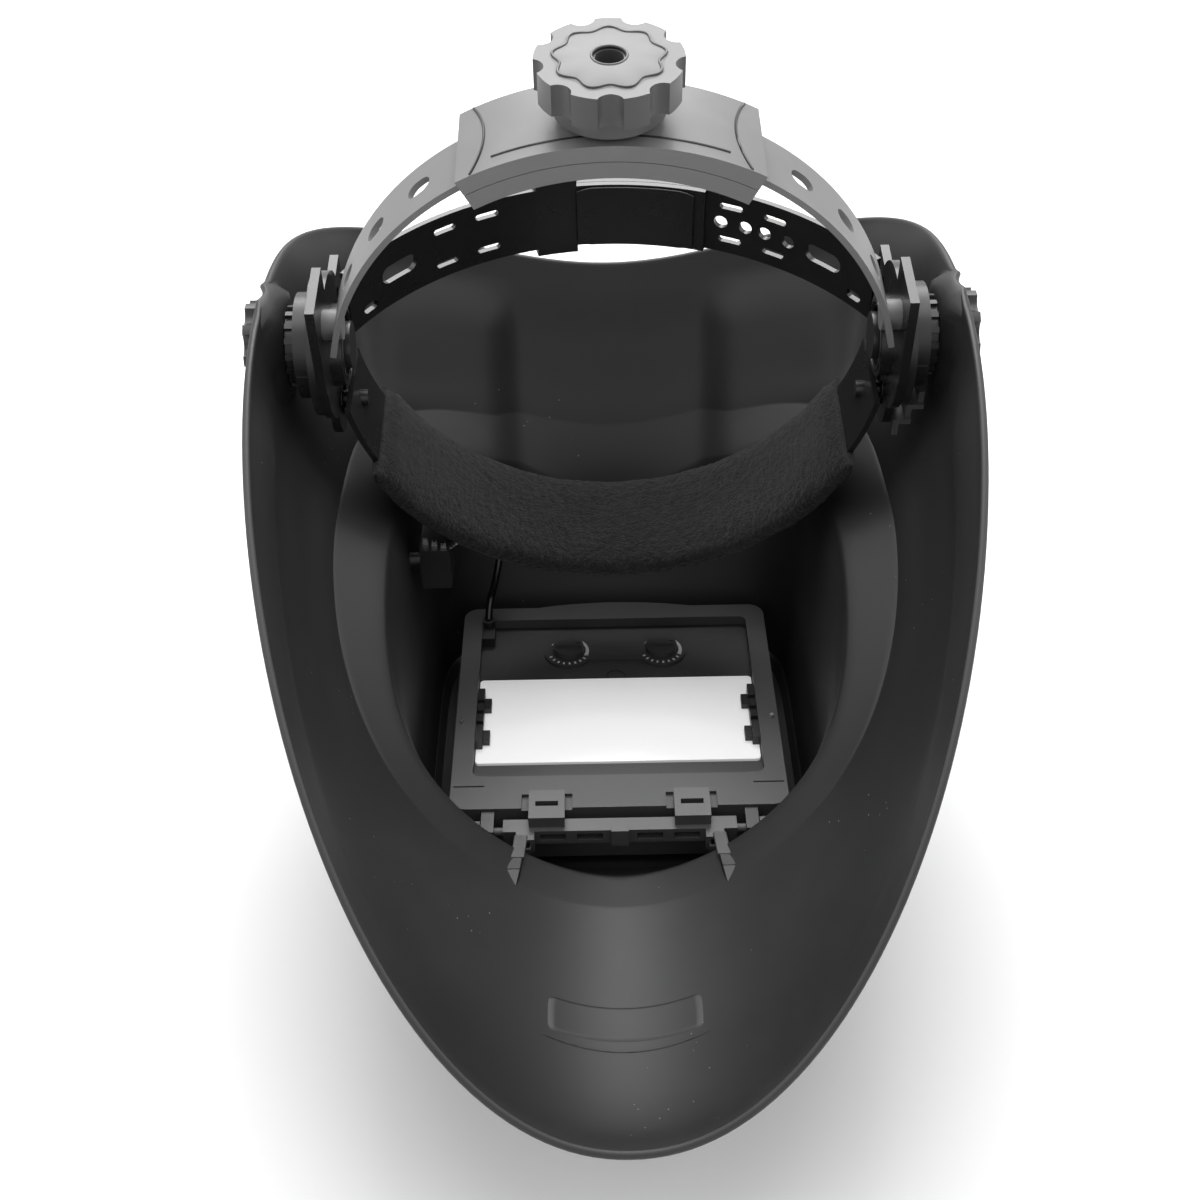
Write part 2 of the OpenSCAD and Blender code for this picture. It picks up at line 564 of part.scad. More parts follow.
// Each step of the arm: where it starts along the brow, and how far it is set in
arm_steps = [[17.5, 0.1], [24, 4.1], [29.5, 8.2]];
arm_t = 2;
step_l = 5;
step_w = 9;
module tilt_stop_arm() color("#8f9296") headgear() for (k = [0:2]) {
    inset = arm_steps[k][1];
    translate([washer_x + 0.2 - inset, arm_steps[k][0], -10 - 1.5 * k]) {
        cube([arm_t, step_l, step_w]);
        if (k > 0) translate([0, -2, 0]) cube([arm_t + inset - arm_steps[k - 1][1], 2, step_w]);
        for (j = [0:1]) translate([0, 0.6 + 2.4 * j, step_w - 1]) cube([arm_t, 1.4, 2]);
    }
}

shell();
front_cover_lens();
lens_gasket();
adf_frame();
adf_front_case();
adf_back_case();
lcd_glass();
circuit_board();
solar_cell();
battery(-1);  // battery_left
battery(1);  // battery_right
arc_sensors();
adf_knob(-1);  // sensitivity_knob
adf_knob(1);  // delay_knob
inner_cover_plate();
lens_clip(-1);  // lens_clip_left
lens_clip(1);  // lens_clip_right
latch_bar();
latch_bracket(-1);  // latch_bracket_left
latch_bracket(1);  // latch_bracket_right
shade_cable();
cable_boot();
shade_pot();
shade_knob();
headband_front();
sweatband();
side_plate(-1);  // side_plate_left
side_plate(1);  // side_plate_right
crown_strap_left();
crown_strap_right();
rear_strap(-1);  // rear_strap_left
rear_strap(1);  // rear_strap_right
rack(-1);  // rack_left
rack(1);  // rack_right
ratchet_case_outer();
ratchet_case_inner();
ratchet_knob();
ratchet_screw();
hub(-1);  // hub_left
hub(1);  // hub_right
toothed_washer(-1);  // toothed_washer_left
toothed_washer(1);  // toothed_washer_right
pivot_bolt(-1);  // pivot_bolt_left
pivot_bolt(1);  // pivot_bolt_right
tension_knob(-1);  // tension_knob_left
tension_knob(1);  // tension_knob_right
tilt_stop_arm();
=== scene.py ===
# %% [markdown]
# A welding helmet lies face down, and the open back shows what the welder wears: the shell, the
# filter in its frame, and the headgear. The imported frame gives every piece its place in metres,
# with X to the right, Y from chin to crown and Z up, so nothing has to be fitted by eye.

# %% Load the frame
import bpy, bmesh, json, math
from mathutils import Vector, Matrix
from mathutils.bvhtree import BVHTree
from mathutils.noise import noise as noise_at


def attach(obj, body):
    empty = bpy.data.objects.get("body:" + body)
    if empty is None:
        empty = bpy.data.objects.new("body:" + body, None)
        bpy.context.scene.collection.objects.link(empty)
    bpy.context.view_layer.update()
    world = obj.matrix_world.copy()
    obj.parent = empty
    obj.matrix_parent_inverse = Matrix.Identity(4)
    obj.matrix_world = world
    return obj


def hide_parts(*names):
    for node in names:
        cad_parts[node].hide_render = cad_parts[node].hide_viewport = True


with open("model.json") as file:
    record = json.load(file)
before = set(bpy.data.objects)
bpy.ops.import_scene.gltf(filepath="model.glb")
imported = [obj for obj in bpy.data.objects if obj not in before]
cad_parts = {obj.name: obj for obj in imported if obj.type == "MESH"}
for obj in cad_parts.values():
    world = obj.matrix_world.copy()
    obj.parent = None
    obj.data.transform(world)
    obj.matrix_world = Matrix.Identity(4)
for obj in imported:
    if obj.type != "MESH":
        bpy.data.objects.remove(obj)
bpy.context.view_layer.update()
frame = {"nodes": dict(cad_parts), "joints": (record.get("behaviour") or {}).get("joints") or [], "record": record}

MM = 0.001
nodes = frame["nodes"]

# %% [markdown]
# The camera stands where a person would look down into the open helmet: over the chin, tilted
# down by a good third of a right angle. It is made first, because cords are measured against
# its view. A small roll leans the helmet a little to the left.

# %% Camera
joint = {j["name"]: j for j in frame["joints"]}
pivot = Vector(joint["headgear_tilt"]["pos_m"])
window_y = pivot.y - 28 * MM          # middle of the window along Y
camera_data = bpy.data.cameras.new("camera")
camera_data.sensor_width = 36
camera_data.lens = 51
camera = bpy.data.objects.new("camera", camera_data)
bpy.context.scene.collection.objects.link(camera)
pitch = math.radians(37.4)
roll = math.radians(-1.05)
camera.matrix_world = (Matrix.Translation((-5.5 * MM, window_y - 487.6 * MM, 450.3 * MM))
    @ Matrix.Rotation(math.pi / 2 - pitch, 4, "X") @ Matrix.Rotation(roll, 4, "Z"))
bpy.context.scene.camera = camera
bpy.context.scene.view_settings.view_transform = "Standard"
print("camera at", [round(v, 3) for v in camera.location])

# %% [markdown]
# The finishes share a few effects: the fine grain of moulded plastic, soft handling marks, and
# settled dust. Each effect is a node group with named inputs, so every material can use it at
# its own scale, and each material keeps its own Principled BSDF.

# %% Node group helpers
def new_group(name, inputs, outputs):
    group = bpy.data.node_groups.new(name, "ShaderNodeTree")
    for label, kind, value in inputs:
        socket = group.interface.new_socket(label, in_out="INPUT", socket_type=kind)
        if value is not None:
            socket.default_value = value
    for label, kind in outputs:
        group.interface.new_socket(label, in_out="OUTPUT", socket_type=kind)
    return group, group.nodes.new("NodeGroupInput"), group.nodes.new("NodeGroupOutput")


def noise(tree, vector, scale, detail=3.0, rough=0.5):
    node = tree.nodes.new("ShaderNodeTexNoise")
    node.inputs["Detail"].default_value = detail
    node.inputs["Roughness"].default_value = rough
    tree.links.new(vector, node.inputs["Vector"])
    if hasattr(scale, "is_linked"):
        tree.links.new(scale, node.inputs["Scale"])
    else:
        node.inputs["Scale"].default_value = scale
    return node.outputs["Fac"]


def maths(tree, kind, a, b=None, c=None):
    node = tree.nodes.new("ShaderNodeMath")
    node.operation = kind
    for k, value in enumerate((a, b, c)):
        if value is None:
            continue
        if hasattr(value, "is_linked"):
            tree.links.new(value, node.inputs[k])
        else:
            node.inputs[k].default_value = value
    return node.outputs[0]


def remap(tree, value, low, high, to_low=0.0, to_high=1.0):
    node = tree.nodes.new("ShaderNodeMapRange")
    node.interpolation_type = "SMOOTHSTEP"
    tree.links.new(value, node.inputs["Value"])
    for label, v in (("From Min", low), ("From Max", high), ("To Min", to_low),
                     ("To Max", to_high)):
        node.inputs[label].default_value = v
    return node.outputs["Result"]


def mixed(tree, factor, a, b):
    node = tree.nodes.new("ShaderNodeMix")
    node.data_type = "RGBA"
    color_a, color_b = [s for s in node.inputs if s.type == "RGBA"][:2]
    for socket, value in ((node.inputs[0], factor), (color_a, a), (color_b, b)):
        if hasattr(value, "is_linked"):
            tree.links.new(value, socket)
        else:
            socket.default_value = value
    return [s for s in node.outputs if s.type == "RGBA"][0]


# %% Moulded plastic group
def make_moulded():
    group, source, sink = new_group("moulded_surface", [
        ("Vector", "NodeSocketVector", None),
        ("Color", "NodeSocketColor", (0.05, 0.05, 0.05, 1)),
        ("Worn Color", "NodeSocketColor", (0.1, 0.1, 0.1, 1)),
        ("Grain Scale", "NodeSocketFloat", 1500.0),
        ("Cloud Scale", "NodeSocketFloat", 18.0),
        ("Rough Low", "NodeSocketFloat", 0.4),
        ("Rough High", "NodeSocketFloat", 0.6)],
        [("Color", "NodeSocketColor"), ("Roughness", "NodeSocketFloat"),
         ("Height", "NodeSocketFloat")])
    vector = source.outputs["Vector"]
    grain = noise(group, vector, source.outputs["Grain Scale"], 2.0)
    cloud = noise(group, vector, source.outputs["Cloud Scale"], 5.0, 0.6)
    scuff = remap(group, cloud, 0.45, 0.75)
    group.links.new(mixed(group, scuff, source.outputs["Color"], source.outputs["Worn Color"]),
                    sink.inputs["Color"])
    spread = maths(group, "SUBTRACT", source.outputs["Rough High"], source.outputs["Rough Low"])
    group.links.new(maths(group, "MULTIPLY_ADD", cloud, spread, source.outputs["Rough Low"]),
                    sink.inputs["Roughness"])
    group.links.new(grain, sink.inputs["Height"])
    return group


# %% Dust group
def make_dust():
    group, source, sink = new_group("dust_specks", [
        ("Vector", "NodeSocketVector", None),
        ("Scale", "NodeSocketFloat", 260.0),
        ("Amount", "NodeSocketFloat", 0.06)],
        [("Mask", "NodeSocketFloat")])
    cells = group.nodes.new("ShaderNodeTexVoronoi")
    group.links.new(source.outputs["Vector"], cells.inputs["Vector"])
    group.links.new(source.outputs["Scale"], cells.inputs["Scale"])
    near = maths(group, "LESS_THAN", cells.outputs["Distance"], source.outputs["Amount"])
    pick = noise(group, source.outputs["Vector"], 23.0)
    chosen = maths(group, "GREATER_THAN", pick, 0.6)
    group.links.new(maths(group, "MULTIPLY", near, chosen), sink.inputs["Mask"])
    return group


moulded_group = make_moulded()
dust_group = make_dust()
print("groups", [g.name for g in bpy.data.node_groups])

# %% [markdown]
# Nearly every part of a helmet is injection moulded, so one function makes a plastic from its
# colour, its sheen and the grain of its mould. Black plastic is never quite black: a light
# cloud of handling marks and a changing roughness keep it from looking like paint.

# %% Plastic materials
def surface_material(name, specular=0.5, coat=0.0, coat_rough=0.1):
    material = bpy.data.materials.new(name)
    material.use_nodes = True
    tree = material.node_tree
    shader = tree.nodes["Principled BSDF"]
    shader.inputs["Specular IOR Level"].default_value = specular
    shader.inputs["Coat Weight"].default_value = coat
    shader.inputs["Coat Roughness"].default_value = coat_rough
    place = tree.nodes.new("ShaderNodeTexCoord").outputs["Object"]
    return material, tree, shader, place


def bump(tree, shader, height, strength, distance):
    node = tree.nodes.new("ShaderNodeBump")
    node.inputs["Strength"].default_value = strength
    node.inputs["Distance"].default_value = distance
    tree.links.new(height, node.inputs["Height"])
    tree.links.new(node.outputs["Normal"], shader.inputs["Normal"])


def grey(v, tint=0.0):
    return (v, v, v * (1 + tint), 1)


def plastic(name, color, worn, rough, grain=1500.0, depth=0.00002, strength=0.25,
            specular=0.5, coat=0.0, dust=0.0, cloud=18.0):
    material, tree, shader, place = surface_material(name, specular, coat)
    body = tree.nodes.new("ShaderNodeGroup")
    body.node_tree = moulded_group
    tree.links.new(place, body.inputs["Vector"])
    body.inputs["Color"].default_value = color
    body.inputs["Worn Color"].default_value = worn
    body.inputs["Grain Scale"].default_value = grain
    body.inputs["Cloud Scale"].default_value = cloud
    body.inputs["Rough Low"].default_value = rough[0]
    body.inputs["Rough High"].default_value = rough[1]
    color_out = body.outputs["Color"]
    if dust:
        specks = tree.nodes.new("ShaderNodeGroup")
        specks.node_tree = dust_group
        tree.links.new(place, specks.inputs["Vector"])
        specks.inputs["Amount"].default_value = dust
        color_out = mixed(tree, specks.outputs["Mask"], color_out, grey(0.35))
    tree.links.new(color_out, shader.inputs["Base Color"])
    tree.links.new(body.outputs["Roughness"], shader.inputs["Roughness"])
    bump(tree, shader, body.outputs["Height"], strength, depth)
    return material


finish = {
    "shell_plastic": plastic("shell_plastic", grey(0.013, 0.03), grey(0.019, 0.03), (0.44, 0.58),
                             grain=1100.0, strength=0.35, dust=0.05, cloud=14.0),
    "frame_plastic": plastic("frame_plastic", grey(0.062), grey(0.075), (0.45, 0.6), 1600.0),
    "filter_case": plastic("filter_case", grey(0.03), grey(0.038), (0.45, 0.6), 1800.0),
    "dial_plastic": plastic("dial_plastic", grey(0.03), grey(0.04), (0.35, 0.5), 2500.0),
    "clip_plastic": plastic("clip_plastic", grey(0.012), grey(0.02), (0.3, 0.5), 2500.0),
    "latch_plastic": plastic("latch_plastic", grey(0.07), grey(0.09), (0.35, 0.55), 1800.0),
    "band_plastic": plastic("band_plastic", grey(0.013), grey(0.02), (0.2, 0.36), 900.0,
                            strength=0.12, dust=0.03),
    "grey_plastic": plastic("grey_plastic", grey(0.17), grey(0.21), (0.4, 0.55), 1500.0,
                            strength=0.15),
    "hub_plastic": plastic("hub_plastic", grey(0.02), grey(0.03), (0.28, 0.42), 1500.0),
    "stop_plastic": plastic("stop_plastic", grey(0.1), grey(0.14), (0.35, 0.5), 1500.0),
    "gasket_rubber": plastic("gasket_rubber", grey(0.02), grey(0.03), (0.7, 0.85), 1500.0),
    "board": plastic("board", (0.02, 0.09, 0.04, 1), (0.03, 0.12, 0.05, 1), (0.35, 0.5)),
    "cell": plastic("cell", (0.008, 0.01, 0.03, 1), (0.012, 0.016, 0.04, 1), (0.15, 0.25)),
    "cable_jacket": plastic("cable_jacket", grey(0.006), grey(0.009), (0.16, 0.28), 1200.0,
                            strength=0.1),
}
print("plastics", len(finish))

# %% [markdown]
# Plated steel and the clear plates are the only surfaces that are not plain plastic. Glass
# keeps a plain transmission, and only its roughness changes over the surface.

# %% Metal and clear materials
def metal(name, tone, rough):
    material, tree, shader, place = surface_material(name)
    shader.inputs["Metallic"].default_value = 1.0
    shader.inputs["Base Color"].default_value = grey(tone)
    brushed = noise(tree, place, 900.0, 4.0)
    tree.links.new(remap(tree, brushed, 0.3, 0.7, rough - 0.06, rough + 0.08),
                   shader.inputs["Roughness"])
    bump(tree, shader, brushed, 0.1, 0.00001)
    return material


def clear(name, color, rough):
    material, tree, shader, place = surface_material(name)
    shader.inputs["Base Color"].default_value = color
    shader.inputs["Transmission Weight"].default_value = 1.0
    shader.inputs["IOR"].default_value = 1.5
    haze = noise(tree, place, 40.0, 6.0)
    tree.links.new(remap(tree, haze, 0.4, 0.8, rough, rough + 0.06), shader.inputs["Roughness"])
    return material


finish["screw_steel"] = metal("screw_steel", 0.6, 0.25)
finish["battery"] = metal("battery", 0.6, 0.3)
finish["clear_lens"] = clear("clear_lens", (0.9, 0.95, 0.93, 1), 0.02)
finish["filter_glass"] = clear("filter_glass", (0.25, 0.4, 0.3, 1), 0.05)
finish["cover_plate"] = plastic("cover_plate", grey(0.93), grey(0.95), (0.12, 0.2), 300.0,
                                strength=0.02, coat=0.6)
# The cover plate glows faintly by emission: painted glow standing in for light scattered through its milky film,
# though the plate is no lamp.
film = finish["cover_plate"].node_tree.nodes["Principled BSDF"]
film.inputs["Emission Color"].default_value = grey(1.0)
film.inputs["Emission Strength"].default_value = 0.22     # the milky film passes light on

# %% [markdown]
# The sweatband is short-pile towelling: many little loops that catch light at the edge of the
# band. Two noise layers make the loops, and their colour is darker where the pile is low, which is
# painted shade in the hollows between the loops. A third noise lightens the colour in patches
# where a brow has pressed the pile, and sheen lights the pile where the band turns away.

# %% Towelling
def towelling():
    material, tree, shader, place = surface_material("sweatband_fabric", 0.2)
    shader.inputs["Sheen Weight"].default_value = 0.12
    shader.inputs["Sheen Roughness"].default_value = 0.5
    loops = noise(tree, place, 1400.0, 3.0, 0.7)
    tufts = noise(tree, place, 420.0, 4.0, 0.6)
    worn = noise(tree, place, 40.0, 3.0, 0.5)
    pile = maths(tree, "MULTIPLY_ADD", tufts, 0.8, loops)
    # darker where the loops are low: painted shade in the hollows between loops
    dark = mixed(tree, remap(tree, pile, 0.65, 1.15), grey(0.002), grey(0.02))
    tone = mixed(tree, remap(tree, worn, 0.55, 0.8, 0.0, 0.3), dark, grey(0.03))
    tree.links.new(tone, shader.inputs["Base Color"])
    shader.inputs["Roughness"].default_value = 0.95
    bump(tree, shader, pile, 1.0, 0.0011)
    return material


finish["sweatband_fabric"] = towelling()
print("finishes", len(finish))

# %% [markdown]
# The shell is one long curved surface. It is drawn as closed rings, from the window out to the
# rim; each ring has a half width, its top and bottom along Y, a squareness, and heights at the
# sides, crown and chin. A curve through the rings gives the skin, and a second skin one wall
# inside closes it. This follows how the mould is shaped better than sculpting would.

# %% Ring table of the shell
WALL = 2.5
RINGS = [
    (50, 0, 41, -41, 9, 9, 0, 0, 0, 6, 2),
    (67, 2, 62, -60, 6, 6, 0, 0, 0, 6, 2),
    (72, 2, 67, -66, 6, 6, 5, 5, 3, 6, 2),
    (76.5, 5, 82, -75, 4.5, 4.5, 55, 34, 8, 6, 2.2),
    (82, 5, 92, -81, 4, 3.6, 100, 62, 16, 6, 1.9),
    (99, 5, 104, -98, 3.8, 2.8, 112, 88, 20, 5, 1.8),
    (112, 10, 114, -158, 3.8, 2.5, 143, 118, 24, 4, 1.7),
    (115, 14, 119, -196, 4.4, 2.3, 166, 138, 34, 3.5, 1.6),
    (118, 20, 122, -214, 4.6, 2.2, 186, 150, 50, 3, 1.6)]
PAD_X, PAD_R, PAD_SLOPE = 112.2, 17.5, 1.6
PAD_FADE_Z, PAD_FADE = 180.0, 0.6
PIVOT_Y, PIVOT_Z = 28.0, 168.0
LOBE_DEPTH = 7.0
FLARE = 2.6
LAST = len(RINGS) - 1


def smooth(v, low, high):
    k = min(max((v - low) / (high - low), 0.0), 1.0)
    return k * k * (3 - 2 * k)


def ring_at(t):
    k = min(int(t), LAST - 1)
    f = t - k
    a, b, c, d = (RINGS[min(max(j, 0), LAST)] for j in (k - 1, k, k + 1, k + 2))
    straight = [q + (r - q) * f for q, r in zip(b, c)]
    if t <= 2:
        return straight
    curved = [q + ((r - p) * f + (2 * p - 5 * q + 4 * r - s) * f * f
                   + (3 * q - p - 3 * r + s) * f ** 3) / 2 for p, q, r, s in zip(a, b, c, d)]
    crisp = smooth(t, 3.6, 4.0) * (1 - smooth(t, 5.0, 5.6))
    return [u * crisp + v * (1 - crisp) for u, v in zip(straight, curved)]


def shell_point(t, angle):
    r = ring_at(t)
    c, s = math.cos(angle), math.sin(angle)
    up = s >= 0
    e = r[4] if up else r[5]
    reach = r[2] - r[1] if up else r[1] - r[3]
    q = (abs(c) ** e + abs(s) ** e) ** (-1 / e)
    x, y = r[0] * c * q, r[1] + reach * s * q
    end, power = (r[7], r[9]) if up else (r[8], r[10])
    z = r[6] + (end - r[6]) * abs(s) ** power
    off = math.hypot(y - PIVOT_Y, z - PIVOT_Z)
    pad = PAD_X + max(0, off - PAD_R) * PAD_SLOPE + max(0, z - PAD_FADE_Z) * PAD_FADE
    x = math.copysign(min(abs(x), pad), x)
    # the crown is pressed in on both sides of a raised middle band
    lobe = smooth(abs(x), 36, 50) * smooth(y, 70, 96) * (1 - smooth(t, 6.2, 7.2))
    lobe *= smooth(t, 3.2, 4.0) * (1 - smooth(abs(x), 84, 98))
    # the walls are drawn in below the rim, so that the last stretch flares outwards
    waist = smooth(t, 6.2, 7.1) * (1 - smooth(t, 7.1, 8.0)) * smooth(off, 34, 60)
    x -= math.copysign(FLARE * waist * smooth(abs(x), 40, 100), x)
    return Vector((x, y - LOBE_DEPTH * lobe, z))


def inward(t, angle):
    if t < 1.6:
        return Vector((0, 0, 1))
    du = shell_point(t, angle + 0.02) - shell_point(t, angle - 0.02)
    dv = shell_point(min(t + 0.1, LAST), angle) - shell_point(max(t - 0.1, 0), angle)
    return dv.cross(du).normalized()


# %% Shell mesh
STEPS = 224
ring_places = [0, 0.5, 1.0, 1.2, 1.4, 1.6, 1.8, 2.0] + [2 + 0.1 * k for k in range(1, 61)]
ring_places = sorted(ring_places + [3.96, 4.04, 4.94, 4.97, 5.03, 5.06])


def to_row(p):
    return (p.x * MM, p.y * MM + window_y, p.z * MM)


def build_shell():
    mesh = bmesh.new()
    outer, inner = [], []
    for t in ring_places:
        row_out, row_in = [], []
        for i in range(STEPS):
            angle = 2 * math.pi * i / STEPS
            p, n = shell_point(t, angle), inward(t, angle)
            row_out.append(mesh.verts.new(to_row(p)))
            row_in.append(mesh.verts.new(to_row(p + n * WALL)))
        outer.append(row_out)
        inner.append(row_in)
    # a rounded lip joins the two skins at the rim
    lip = []
    for k in range(1, 6):
        a = math.pi * k / 6
        row = []
        for i in range(STEPS):
            angle = 2 * math.pi * i / STEPS
            n = inward(LAST, angle)
            p, before = shell_point(LAST, angle), shell_point(LAST - 0.1, angle)
            out = (p - before).normalized()
            centre = p + n * WALL / 2
            row.append(mesh.verts.new(to_row(
                centre - n * math.cos(a) * WALL / 2 + out * math.sin(a) * 1.0)))
        lip.append(row)
    chain = outer + lip + inner[::-1]
    for low, high in zip(chain, chain[1:] + chain[:1]):
        for i in range(STEPS):
            j = (i + 1) % STEPS
            mesh.faces.new((low[i], low[j], high[j], high[i]))
    bmesh.ops.recalc_face_normals(mesh, faces=mesh.faces)
    data = bpy.data.meshes.new("helmet_shell")
    mesh.to_mesh(data)
    mesh.free()
    return data


def add_piece(name, data, body, slot, smooth_angle=30, look=None):
    piece = bpy.data.objects.new(name, data)
    bpy.context.scene.collection.objects.link(piece)
    data.polygons.foreach_set("use_smooth", [True] * len(data.polygons))
    data.set_sharp_from_angle(angle=math.radians(smooth_angle))
    data.materials.clear()
    data.materials.append(finish[look or slot])
    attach(piece, body)
    return piece


shell = add_piece("helmet_shell", build_shell(), "helmet", "shell_plastic", 40)
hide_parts("shell")
print("shell", len(shell.data.vertices), [round(v, 4) for v in shell.dimensions])

# %% [markdown]
# A band of foam wrapped in towelling is soft: it crowns between its edges and closes round the
# plastic strap. It is swept along the strap's arc with a fat rounded profile, then a small
# noise moves it, so no two places have quite the same height.

# %% Headgear frame
lean = math.atan2(-0.98229, 0.18738)
head = Matrix.Translation(pivot) @ Matrix.Rotation(lean, 4, "X")
RING_R = 92.0
BAND_T = 2.0


def head_point(x, y, z):
    return head @ Vector((x * MM, y * MM, z * MM))


# %% Sweatband
SWEAT_T, SWEAT_H = 5.0, 47.0


def sweatband_mesh(steps=420, around=100):
    mesh = bmesh.new()
    rows = []
    start, end = math.radians(25), math.radians(155)
    for k in range(steps + 1):
        u = k / steps
        a = start + (end - start) * u
        close = min(1.0, 0.35 + 0.65 * smooth(min(u, 1 - u), 0, 0.03))
        row = []
        for j in range(around):
            b = 2 * math.pi * j / around
            c, s = math.cos(b), math.sin(b)
            half_t = (BAND_T / 2 + SWEAT_T * 0.86) * close
            r = RING_R + half_t * math.copysign(abs(c) ** 0.75, c)
            h = SWEAT_H / 2 * math.copysign(abs(s) ** 0.55, s)
            spot = Vector((r * math.cos(a), r * math.sin(a), h))
            r += 0.55 * noise_at(spot * 0.06) * c + 0.5 * noise_at(spot * 0.9) * c
            h += 0.9 * noise_at(spot * 0.08) * s + 0.4 * noise_at(spot * 0.9) * s
            row.append(mesh.verts.new(head_point(r * math.cos(a), r * math.sin(a), h)))
        rows.append(row)
    for low, high in zip(rows, rows[1:]):
        for j in range(around):
            i = (j + 1) % around
            mesh.faces.new((low[j], low[i], high[i], high[j]))
    mesh.faces.new(rows[0][::-1])
    mesh.faces.new(rows[-1])
    bmesh.ops.recalc_face_normals(mesh, faces=mesh.faces)
    data = bpy.data.meshes.new("sweatband_pad")
    mesh.to_mesh(data)
    mesh.free()
    return data


sweatband = add_piece("sweatband_pad", sweatband_mesh(), "headgear", "sweatband_fabric", 60)
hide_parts("sweatband")
print("sweatband", [round(v, 4) for v in sweatband.dimensions])

# %% [markdown]
# One thin lead joins the shade control on the left wall to the filter. It leaves the control,
# runs round behind the brow band and drops into a small boot on the filter, so both of its
# ends are held.

# %% Shade lead
LEAD_D = 3.0
lead_route = [(-66, 36.6, 78), (-65.5, 43, 78), (-63, 51, 77), (-58, 59, 75), (-52, 65, 71),
              (-47, 68, 65), (-45, 67, 58), (-45.5, 63, 50), (-47.5, 57, 43),
              (-49.6, 50.5, 38.5), (-50, 47.2, 33)]


def lead_curve():
    data = bpy.data.curves.new("shade_lead", "CURVE")
    data.dimensions = "3D"
    line = data.splines.new("NURBS")
    line.points.add(len(lead_route) - 1)
    for point, place in zip(line.points, lead_route):
        point.co = (*to_row(Vector(place)), 1)
    line.order_u = 3
    line.use_endpoint_u = True
    data.resolution_u = 12
    data.bevel_depth = LEAD_D / 2 * MM
    data.bevel_resolution = 6
    return data


lead_data = lead_curve()
lead = bpy.data.objects.new("shade_lead", lead_data)
bpy.context.scene.collection.objects.link(lead)
lead_data.materials.append(finish["cable_jacket"])
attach(lead, "helmet")
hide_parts("shade_cable")

# %% [markdown]
# Small fittings make a moulded part believable. They are swept tubes and tapered bars, so two
# helpers draw them: a tube follows a path with a round section, and a bar joins two rectangles.

# %% Tube and bar helpers
def add_tube(mesh, path, radius, closed=False, sides=10):
    rows = []
    last = len(path) - 1
    for k, place in enumerate(path):
        ahead = path[(k + 1) % len(path)] if closed else path[min(k + 1, last)]
        behind = path[k - 1] if closed else path[max(k - 1, 0)]
        along = (ahead - behind).normalized()
        side = along.orthogonal() if k == 0 else (side - along * side.dot(along))
        side.normalize()
        rise = along.cross(side)
        rows.append([mesh.verts.new(place + (side * math.cos(a) + rise * math.sin(a)) * radius)
                     for a in (2 * math.pi * j / sides for j in range(sides))])
    pairs = list(zip(rows, rows[1:])) + ([(rows[-1], rows[0])] if closed else [])
    for low, high in pairs:
        for j in range(sides):
            i = (j + 1) % sides
            mesh.faces.new((low[j], low[i], high[i], high[j]))
    if not closed:
        mesh.faces.new(rows[0][::-1])
        mesh.faces.new(rows[-1])


def add_bar(mesh, start, end):
    """Each end is a centre and a half size; the bar joins the two rectangles."""
    rows = []
    for centre, half in (start, end):
        c, h = Vector(centre), Vector(half)
        spans = [k for k in range(3) if h[k] > 0]
        row = []
        for sa, sb in ((-1, -1), (1, -1), (1, 1), (-1, 1)):
            place = c.copy()
            place[spans[0]] += sa * h[spans[0]]
            place[spans[1]] += sb * h[spans[1]]
            row.append(mesh.verts.new(to_row(place)))
        rows.append(row)
    for j in range(4):
        i = (j + 1) % 4
        mesh.faces.new((rows[0][j], rows[0][i], rows[1][i], rows[1][j]))
    mesh.faces.new(rows[0][::-1])
    mesh.faces.new(rows[1])


def finish_mesh(mesh, name):
    bmesh.ops.recalc_face_normals(mesh, faces=mesh.faces)
    data = bpy.data.meshes.new(name)
    mesh.to_mesh(data)
    mesh.free()
    return data


def rounded(piece, width=0.3, segments=2):
    soft = piece.modifiers.new("edge", "BEVEL")
    soft.width = width * MM
    soft.segments = segments
    soft.limit_method = "ANGLE"
    soft.angle_limit = math.radians(40)


# %% [markdown]
# Round each knob on the filter runs a printed scale: an arc that grows towards its strong end,
# and short ticks. It is thin ink, drawn as flat strips just above the raised pad.

# %% Printed dial scales
FACE_Z = 26.0
DIAL_X, DIAL_Y, DIAL_Z = 18.3, 33.0, FACE_Z + 1.2


def add_strip(mesh, centre, a0, a1, r0, r1, grow=0.0, steps=18):
    rows = []
    for k in range(steps + 1):
        u = k / steps
        a = math.radians(a0 + (a1 - a0) * u)
        rows.append([[mesh.verts.new(to_row(centre + Vector((
            r * math.cos(a), r * math.sin(a), lift)))) for r in (r0 - grow * u, r1)]
            for lift in (0.02, 0.1)])
    for (low, high) in zip(rows, rows[1:]):
        mesh.faces.new((low[1][0], low[1][1], high[1][1], high[1][0]))
        mesh.faces.new((low[0][1], low[0][0], high[0][0], high[0][1]))
        for j in (0, 1):
            mesh.faces.new((low[0][j], low[1][j], high[1][j], high[0][j]))
    for row in (rows[0], rows[-1]):
        mesh.faces.new((row[0][0], row[0][1], row[1][1], row[1][0]))


def dial_scales():
    mesh = bmesh.new()
    for side in (-1, 1):
        centre = Vector((side * DIAL_X, DIAL_Y, DIAL_Z))
        add_strip(mesh, centre, 150, 78, 7.3, 7.7, 0.5)
        add_strip(mesh, centre, 72, -24, 7.2, 8.1, 0.5)
        for tick in range(9):
            a = 205 + 16.5 * tick
            add_strip(mesh, centre, a, a + 5, 7.2, 8.3, steps=2)
    return finish_mesh(mesh, "dial_scales")


finish["printed_white"] = plastic("printed_white", grey(0.75), grey(0.6), (0.5, 0.6), 2500.0)
scales = add_piece("dial_scales", dial_scales(), "helmet", "cover_plate", look="printed_white")
print("scales", len(scales.data.polygons))

